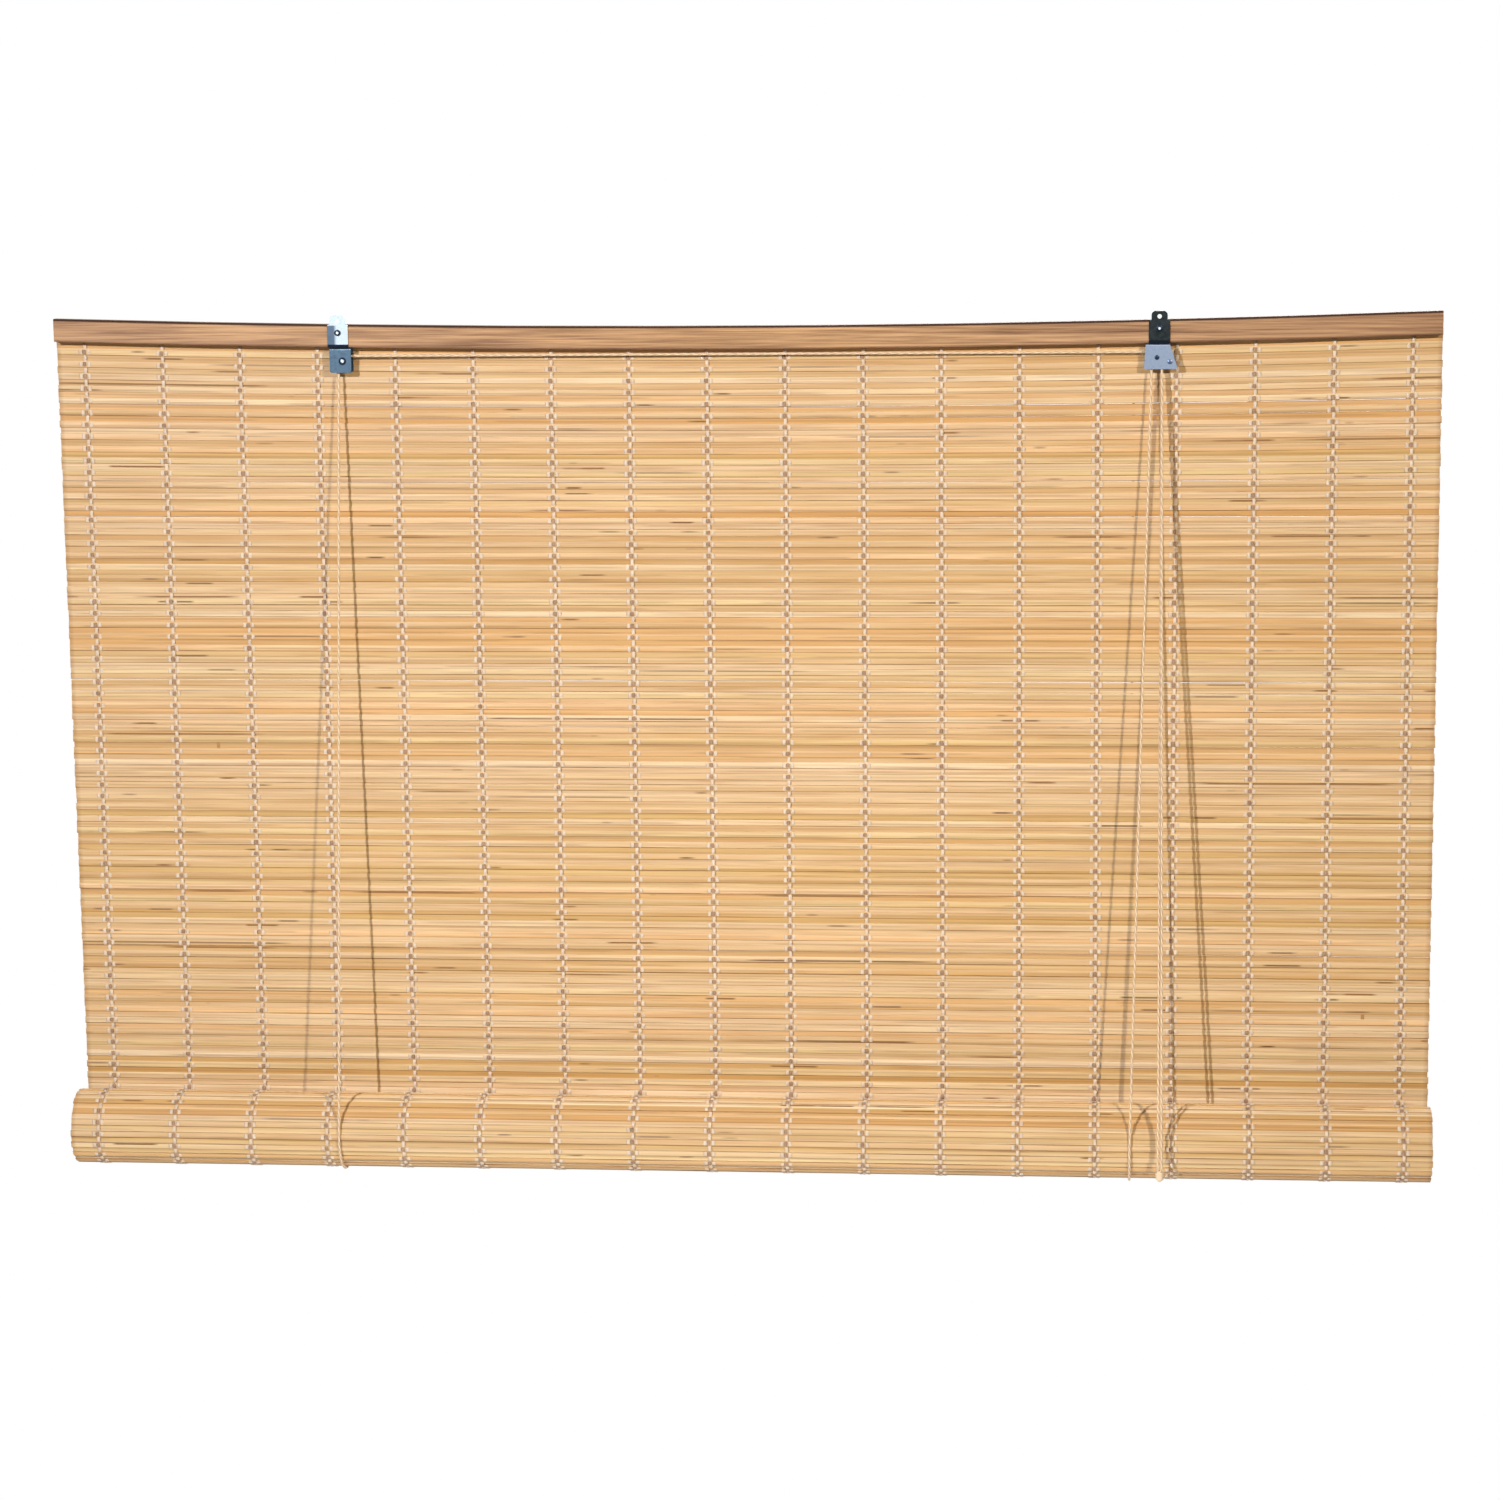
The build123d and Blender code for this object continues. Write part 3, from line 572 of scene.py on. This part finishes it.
for way, turned, finish in ((-1.0, pi, "Pale"), (-0.1, pi, "Brown"), (0.1, 0.0, "Pale"), (1.0, pi, "Pale")):
    shift = combined(tree, times(tree, sizes["Apart"], way))
    placed = add(tree, "GeometryNodeTransform", {"Geometry": strand.outputs[0], "Translation": shift,
                                                 "Rotation": (0.0, 0.0, turned)})
    placed = add(tree, "GeometryNodeSetMaterial", {"Geometry": placed.outputs[0], "Material": sizes[finish]})
    tree.links.new(placed.outputs[0], band.inputs[0])
half_row = combined(tree, times(tree, sizes["Row"], 0.5))
row_start = add(tree, "ShaderNodeVectorMath", {0: sizes["Top"], 1: half_row}, operation="SUBTRACT")
row_end = add(tree, "ShaderNodeVectorMath", {0: sizes["Top"], 1: half_row}, operation="ADD")
columns = add(tree, "GeometryNodeMeshLine", {
    "Count": sizes["Columns"], "Start Location": row_start.outputs[0], "Offset": row_end.outputs[0]},
    mode="END_POINTS")
half_count = times(tree, calc(tree, "SUBTRACT", sizes["Columns"], 1.0), 0.5)
from_middle = calc(tree, "DIVIDE", add(tree, "GeometryNodeInputIndex").outputs[0], half_count)
from_middle = calc(tree, "SUBTRACT", from_middle, 1.0)
crowd = calc(tree, "SUBTRACT", 1.0, times(tree, from_middle, from_middle))
crowd = combined(tree, times(tree, crowd, sizes["Crowding"]))
columns = add(tree, "GeometryNodeSetPosition", {"Geometry": columns.outputs[0], "Offset": crowd})
threads = add(tree, "GeometryNodeInstanceOnPoints", {"Points": columns.outputs[0],
                                                     "Instance": band.outputs[0]})
threads = add(tree, "GeometryNodeRealizeInstances", {0: threads.outputs[0]})
tree.links.new(threads.outputs[0], out[0])


def thread_finish(name, dark, pale):
    """Soft cotton thread of one colour, with its lint."""
    finish, tree, shader = new_finish(name, Roughness=0.9, Sheen_Weight=0.25)
    lint = speckle(tree, pattern_place(tree), 1400.0, 3.0)
    soiling = speckle(tree, pattern_place(tree), 70.0, 2.0)
    share = calc(tree, "ADD", times(tree, lint, 0.5), times(tree, soiling, 0.5))
    tree.links.new(mixed(tree, spread(tree, share, 0.35, 0.65), dark, pale), shader.inputs["Base Color"])
    raise_surface(tree, shader, lint, 0.5, 0.0003)
    return finish


pale_cotton = thread_finish("Pale warp cotton", tone(222, 196, 170), tone(247, 228, 204))
# Painted shade: the brown thread's colour stands for the dark hole behind the pale one.
brown_shade_cotton = thread_finish("Brown warp cotton as painted shade", tone(156, 122, 96), tone(196, 162, 132))

thread_sizes = {"Slats": hanging_slats, "Pitch": slat_pitch, "Columns": thread_columns,
                "Row": mat_width - 2 * thread_margin, "Crowding": thread_crowding, "Apart": threads_apart,
                "Radius": thread_radius, "Reach": thread_reach, "Top": (mat_middle, mat_y, mat_top),
                "Pale": pale_cotton, "Brown": brown_shade_cotton}
mat_threads = grown("mat_threads", woven, thread_sizes)
hang_from_rail(mat_threads.data)
fold_up(mat_threads)
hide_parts("warp_threads")

# Roll. The lower part of the same mat, wound up round the bottom lath from behind: each turn is
# round for most of its way and then steps in under the next. Its slats and threads run on.
roll_radius = 37 * mm
roll_y = mat_y - roll_radius
turn_pitch = 5.2 * mm
turn_step_share = 1 / 6
rolled_slats = 132
roll_start = 0.3 * mm
bound_slats = 42


def turn_radius(angle):
    """Radius of the wound mat at an angle from the roll's back."""
    turns = floor(angle / (2 * pi))
    part_turn = angle / (2 * pi) - turns
    step = max(0, (part_turn - (1 - turn_step_share)) / turn_step_share)
    return roll_radius - turn_pitch * (turns + step)


wound_angles = [roll_start / roll_radius]
for _ in range(rolled_slats):
    wound_angles.append(wound_angles[-1] + 2 * asin(slat_pitch / (2 * turn_radius(wound_angles[-1]))))
wound_radii = [turn_radius(angle) for angle in wound_angles]


def wind_up(mesh):
    """Winds a flat stretch of mat, its top at the roll's back, round the roll."""
    places = places_of(mesh)
    passed = (roll_z - places[:, 2]) / slat_pitch
    steps = np.arange(rolled_slats + 1)
    angle = np.interp(passed, steps, wound_angles)
    radius = np.interp(passed, steps, wound_radii) + places[:, 1] - mat_y
    places[:, 1] = roll_y + radius * np.cos(angle)
    places[:, 2] = roll_z - radius * np.sin(angle)
    put_places(mesh, places)


rolled_mat = grown("rolled_mat", slat_rows, {**slat_sizes, "Count": rolled_slats, "Seed": 29,
                                             "Top": (mat_middle, mat_y, roll_z)})
wind_up(rolled_mat.data)
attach(rolled_mat, "roll")
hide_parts("mat_roll")
rolled_threads = grown("rolled_threads", woven, {**thread_sizes, "Slats": bound_slats,
                                                 "Top": (mat_middle, mat_y, roll_z)})
wind_up(rolled_threads.data)
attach(rolled_threads, "roll")
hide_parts("roll_threads")

# Bottom lath, inside the roll, and the staples at the rail's back. The lath is plain softwood,
# and the staples are bright wire, driven through the mat's top slats.
lath_wood, tree, shader = new_finish("Plain lath wood", Roughness=0.6)
lath_grain = use_group(tree, grain, {"Pale": tone(226, 186, 138), "Dark": tone(190, 146, 98),
                                     "Along": 8.0, "Across": 380.0, "Shift": 11.0})
tree.links.new(lath_grain.outputs["Color"], shader.inputs["Base Color"])
raise_surface(tree, shader, lath_grain.outputs["Height"], 0.3, 0.0005)
dress("bottom_rail", lath_wood)
dress("rail_staples", zinc_finish("Staple zinc", tone(206, 212, 218), tone(128, 138, 150)))

# Housings under the rail, of folded zinc-plated sheet, with the pulleys of white nylon on
# riveted axles. The right one is the cord lock, where a toothed cam grips the pull cord. Both
# housings are one zinc: the left one's darker colour and the lock's paler one are painted
# reflections. Painted shade rings the left rivet, and its centre has a painted highlight.
left_axle_x = -408.9 * mm
axle_z = -40.5 * mm
rivet_highlight_reach = (1.5 * mm, 1.9 * mm)
lock_side = (-100 * mm, 100 * mm)
cam_side = (hanger_x + 3 * mm, hanger_x + 5 * mm)
# The left housing's dark zinc is a painted dark reflection, with painted shade round its rivet.
painted_dark_zinc = zinc_finish("Housing zinc in painted dark reflection", tone(84, 106, 124), tone(62, 80, 96), ring=(left_axle_x, axle_z))
pale_zinc = zinc_finish("Pale zinc", tone(146, 160, 182), tone(120, 134, 156))
dress("pulley_housing", painted_dark_zinc)
dress("lock_housing", pale_zinc)
dress("housing_screws", painted_dark_zinc)
rivet_zinc, tree, shader = new_finish("Rivet zinc", Metallic=0.85, Roughness=0.35)
rivet_x = object_place(tree)[0]
past_pulley = spread(tree, rivet_x, *cam_side)
rivet_colour = mixed(tree, spread(tree, rivet_x, *lock_side), tone(206, 216, 224), tone(58, 66, 100))
rivet_colour = mixed(tree, past_pulley, rivet_colour, tone(92, 104, 128))
# Painted highlight in the left rivet's centre; the rest of the rivet heads is dark.
off_rivet_highlight = spread(tree, reach_from(tree, left_axle_x, axle_z), *rivet_highlight_reach)
off_rivet_highlight = times(tree, off_rivet_highlight, spread(tree, past_pulley, 0.0, 1.0, 1.0, 0.2))
tree.links.new(mixed(tree, off_rivet_highlight, rivet_colour, tone(40, 50, 72)), shader.inputs["Base Color"])
dress("axle_rivets", rivet_zinc)
dress("lock_cam", pale_zinc)
nylon, tree, shader = new_finish("Pulley nylon", Subsurface_Weight=0.1)
scuffs = speckle(tree, pattern_place(tree), 500.0, 4.0)
tree.links.new(mixed(tree, spread(tree, scuffs, 0.35, 0.7), tone(236, 232, 222), tone(206, 200, 188)),
               shader.inputs["Base Color"])
tree.links.new(spread(tree, scuffs, 0.3, 0.7, 0.35, 0.6), shader.inputs["Roughness"])
dress("cord_pulley", nylon)
dress("lock_pulley", nylon)

# Cords. Thin twisted cotton: each lift cord comes down behind the mat, goes under the roll and
# up its front to a pulley; the left one runs across under the rail to the lock.
cord_radius = 1.4 * mm
cord_twist = 9 * mm
cord_strands = 3
cord_sides = 9
cord_step = 1 * mm
cord_groove = 0.1 * mm


def lay_turn(tree, around, along, twist):
    """Angle in the pattern of a cord's strands, which wind round it as they run along it."""
    turns = calc(tree, "ADD", times(tree, around, float(cord_strands)),
                 calc(tree, "DIVIDE", along, twist))
    return times(tree, turns, 2 * pi)


twisted, sizes, out = new_tree("Twisted cord", [
    ("Route", "NodeSocketGeometry"), ("Radius", "NodeSocketFloat"), ("Groove", "NodeSocketFloat"),
    ("Twist", "NodeSocketFloat"), ("Step", "NodeSocketFloat"), ("Finish", "NodeSocketMaterial")])
tree = twisted
route = add(tree, "GeometryNodeMeshToCurve", {"Mesh": sizes["Route"]})
route = add(tree, "GeometryNodeResampleCurve", {"Curve": route.outputs[0], "Length": sizes["Step"]},
            mode="LENGTH")
route = stored(tree, route, "cord_along", add(tree, "GeometryNodeSplineParameter").outputs["Length"])
ring = add(tree, "GeometryNodeCurvePrimitiveCircle", {
    "Resolution": cord_sides, "Radius": calc(tree, "SUBTRACT", sizes["Radius"], sizes["Groove"])})
ring = stored(tree, ring, "cord_around", add(tree, "GeometryNodeSplineParameter").outputs["Factor"])
tube = add(tree, "GeometryNodeCurveToMesh", {"Curve": route.outputs[0], "Fill Caps": True,
                                             "Profile Curve": ring.outputs[0]})
lay = lay_turn(tree, stored_value(tree, "cord_around"), stored_value(tree, "cord_along"), sizes["Twist"])
swell = times(tree, calc(tree, "COSINE", lay), sizes["Groove"])
outwards = add(tree, "GeometryNodeInputNormal").outputs[0]
swell = add(tree, "ShaderNodeVectorMath", {0: outwards, "Scale": swell}, operation="SCALE")
tube = add(tree, "GeometryNodeSetPosition", {"Geometry": tube.outputs[0], "Offset": swell.outputs[0]})
tube = add(tree, "GeometryNodeSetShadeSmooth", {0: tube.outputs[0]})
tube = add(tree, "GeometryNodeSetMaterial", {"Geometry": tube.outputs[0], "Material": sizes["Finish"]})
tree.links.new(tube.outputs[0], out[0])

cord_cotton, tree, shader = new_finish("Cord cotton", Roughness=0.85, Sheen_Weight=0.3)
lay = lay_turn(tree, own_value(tree, "cord_around"), own_value(tree, "cord_along"), cord_twist)
# Painted shade darkens the grooves between the twisted strands.
strand_crown = spread(tree, calc(tree, "COSINE", lay), -1.0, 0.6)
cord_lint = speckle(tree, pattern_place(tree), 1600.0, 3.0)
cord_colour = mixed(tree, strand_crown, tone(206, 168, 130), tone(252, 229, 194))
cord_colour = mixed(tree, times(tree, cord_lint, 0.4), cord_colour, tone(224, 192, 156))
tree.links.new(cord_colour, shader.inputs["Base Color"])
raise_surface(tree, shader, cord_lint, 0.4, 0.0003)


def laid(name, route):
    """Points along the smooth spline that a cord's route gives."""
    line = bpy.data.curves.new(name, "CURVE")
    line.dimensions = "3D"
    line.resolution_u = 24
    spline = line.splines.new("NURBS")
    spline.points.add(len(route) - 1)
    for point, place in zip(spline.points, route):
        point.co = (*place, 1.0)
    spline.order_u = 3
    spline.use_endpoint_u = True
    guide = bpy.data.objects.new(name + "_line", line)
    points = [v.co.copy() for v in bpy.data.meshes.new_from_object(guide).vertices]
    bpy.data.objects.remove(guide)
    return points


def twisted_cord(name, route):
    """Cord laid along a route, as its object and its points."""
    points = laid(name, route)
    start = bpy.data.meshes.new(name)
    start.from_pydata(points, [(i, i + 1) for i in range(len(points) - 1)], [])
    made = grown(name, twisted, {"Radius": cord_radius, "Groove": cord_groove, "Twist": cord_twist,
                                 "Step": cord_step, "Finish": cord_cotton}, start)
    return made, points


run_lead = 12 * mm


def taut_run(start, end, lead=run_lead):
    """Route of a straight run, with a point near each end."""
    way = (Vector(end) - Vector(start)).normalized() * lead
    return [Vector(start), Vector(start) + way, Vector(end) - way, Vector(end)]


axle_y = 5 * mm
wrap_radius = 5 * mm
cord_start = -41.5 * mm
wrap_top = axle_z + wrap_radius
lock_axle_x = 410.65 * mm
front_groove = 2.7 * mm
back_groove = 7.3 * mm
strand_x = lock_axle_x + wrap_radius
sling_radius = 40.195 * mm
sling_points = 11
back_y = roll_y + sling_radius
knot_bottom = -16.4 * mm
left_sling_x = -424 * mm
right_sling_x = 388 * mm
left_top = Vector((left_axle_x - wrap_radius, axle_y, cord_start))
right_top = Vector((lock_axle_x - wrap_radius, front_groove, cord_start))
sling_middle = Vector((0, roll_y, roll_z))
for side, sling_x, top in (("left", left_sling_x, left_top), ("right", right_sling_x, right_top)):
    back_top = Vector((sling_x, back_y, knot_bottom))
    back_low = Vector((sling_x, back_y, roll_z))
    rise = Vector((0, top.y, top.z)) - sling_middle
    leave = Vector((1, 0)).angle_signed(Vector((rise.y, rise.z)))
    leave = -leave + acos(sling_radius / rise.length)
    leave_point = Vector((sling_x, roll_y + sling_radius * cos(leave), roll_z + sling_radius * sin(leave)))
    sweep = 2 * pi - leave
    step = sweep / (sling_points - 1)
    corner = sling_radius / cos(step / 2)
    sling_route = [back_low]
    for i in range(sling_points - 1):
        angle = (i + 0.5) * step
        sling_route.append(Vector((sling_x, roll_y + corner * cos(angle), roll_z - corner * sin(angle))))
    sling_route.append(leave_point)
    back_run, points = twisted_cord(f"lift_{side}_back_run", taut_run(back_top, back_low))
    fold_up(back_run)
    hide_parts(f"lift_cord_{side}_back")
    sling, points = twisted_cord(f"lift_{side}_sling", sling_route)
    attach(sling, "slings")
    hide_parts(f"lift_cord_{side}_sling")
    front_run, points = twisted_cord(f"lift_{side}_front_run", taut_run(leave_point, top))
    fold_up(front_run)
    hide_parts(f"lift_cord_{side}_front")

over_left = Vector((left_top.x, axle_y, wrap_top))
over_lock = Vector((strand_x, back_groove, wrap_top))
lead = Vector((run_lead, 0, 0))
cross_route = [left_top, over_left, over_left + lead, over_lock - lead, over_lock,
               Vector((strand_x, back_groove, cord_start))]
cross_run, points = twisted_cord("cross_run", cross_route)
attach(cross_run, "head")
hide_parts("cross_cord")
lock_route = [right_top, Vector((right_top.x, front_groove, wrap_top)),
              Vector((strand_x, front_groove, wrap_top)), Vector((strand_x, front_groove, cord_start))]
lock_run = twisted_cord("lock_run", lock_route)[0]
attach(lock_run, "head")
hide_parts("lock_cord")

# Pull cord. The two lift cords leave the lock one behind the other, come down in front of the
# roll, turned a little round each other, and are tied together in one knot at their end.
pull_x = 418.2 * mm
pull_y = -75.25 * mm
strand_spacing = 3.6 * mm
strand_stagger = 2.2 * mm
pull_knot_top = -854 * mm
knot_lead = 5 * mm
for side, groove_y, shift in (("front", front_groove, 0.5), ("back", back_groove, -0.5)):
    strand_top = Vector((strand_x, groove_y, cord_start))
    strand_low = Vector((pull_x + shift * strand_spacing, pull_y - (shift + 0.5) * strand_stagger, roll_z))
    strand_end = Vector((strand_low.x, strand_low.y, pull_knot_top))
    lower = twisted_cord(f"pull_{side}_lower", taut_run(strand_low, strand_end, knot_lead))[0]
    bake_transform(lower)
    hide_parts("pull_cord_lower")
    upper, points = twisted_cord(f"pull_{side}_upper", taut_run(strand_top, strand_low))
    fold_up(upper)
    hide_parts("pull_cord_upper")
dress("pull_knot", cord_cotton)
dress("cord_knots", cord_cotton)

# Floor, lamps and camera. A white room: two bare lamps left and right of the camera throw the two
# sharp shadows that each cord has on the mat. A soft low lamp is the light that the white floor
# sends back up to the roll, and a wide lamp behind the blind lights its back.
floor_z = -2.36
floor_reach = 7
floor_back = 2.5
floor_white = tone(244, 243, 240)
floor_glow = 0.7
room_fill = 0.06


def seen_plainly(tree):
    """One for rays that show a thing itself or its mirror image, none for those that light others."""
    rays = add(tree, "ShaderNodeLightPath").outputs
    return calc(tree, "MAXIMUM", calc(tree, "MAXIMUM", rays["Is Camera Ray"], rays["Is Glossy Ray"]),
                rays["Is Transmission Ray"])


floor_finish, tree, shader = new_finish("White floor", Roughness=0.9)
shader.inputs["Base Color"].default_value = floor_white
shader.inputs["Emission Color"].default_value = floor_white
tree.links.new(times(tree, seen_plainly(tree), floor_glow), shader.inputs["Emission Strength"])
floor_mesh = bpy.data.meshes.new("floor")
floor_corners = [(-floor_reach, -floor_reach, floor_z), (floor_reach, -floor_reach, floor_z),
                 (floor_reach, floor_back, floor_z), (-floor_reach, floor_back, floor_z)]
floor_mesh.from_pydata(floor_corners, [], [(0, 1, 2, 3)])
floor_mesh.materials.append(floor_finish)
studio_floor = bpy.data.objects.new("studio_floor", floor_mesh)
bpy.context.collection.objects.link(studio_floor)

world = bpy.data.worlds.new("White room")
bpy.context.scene.world = world
world.use_nodes = True
tree = world.node_tree
background = tree.nodes["Background"]
seen = seen_plainly(tree)
tree.links.new(mixed(tree, seen, (1.0, 0.78, 0.5, 1.0), (1.0, 1.0, 1.0, 1.0)), background.inputs["Color"])
tree.links.new(spread(tree, seen, 0.0, 1.0, room_fill, 1.0), background.inputs["Strength"])


def lamp(name, place, aim, size, power, beam=180, colour=(1, 1, 1)):
    """Square lamp that faces a point."""
    light = bpy.data.lights.new(name, "AREA")
    light.size = size
    light.energy = power
    light.color = colour
    light.spread = radians(beam)
    made = bpy.data.objects.new(name, light)
    made.location = place
    made.rotation_euler = (Vector(aim) - Vector(place)).to_track_quat("-Z", "Y").to_euler()
    bpy.context.collection.objects.link(made)


middle = (0, 0, -0.62)
lamp("lamp_left", (-1.72, -3.35, 1.1), middle, 0.01, 33, 100, (0.98, 1, 1.06))
lamp("lamp_right", (1.88, -3.15, 1.1), middle, 0.01, 20.8, 100, (1, 0.925, 0.77))
lamp("lamp_low", (0, -0.5, -2.0), (0, 0, -0.84), 1.2, 7.5)
lamp("lamp_behind", (0.6, 3.4, 0.9), middle, 1.6, 95)

camera_place = (0.3579, -3.7590, 0.2203)
focal_length = 90.18
turn_left = radians(-5.427)
tilt_down = radians(9.888)
lean_over = radians(0.656)
level_right = Vector((cos(turn_left), -sin(turn_left), 0))
level_ahead = Vector((sin(turn_left), cos(turn_left), 0))
ahead = level_ahead * cos(tilt_down) - Vector((0, 0, sin(tilt_down)))
upright = level_ahead * sin(tilt_down) + Vector((0, 0, cos(tilt_down)))
right = level_right * cos(lean_over) - upright * sin(lean_over)
up = level_right * sin(lean_over) + upright * cos(lean_over)
lens = bpy.data.cameras.new("camera")
lens.sensor_width = 36
lens.lens = focal_length
camera = bpy.data.objects.new("camera", lens)
facing = Matrix((right, up, -ahead)).transposed().to_4x4()
camera.matrix_world = Matrix.Translation(camera_place) @ facing
bpy.context.collection.objects.link(camera)
bpy.context.scene.camera = camera
bpy.context.scene.view_settings.view_transform = "Standard"
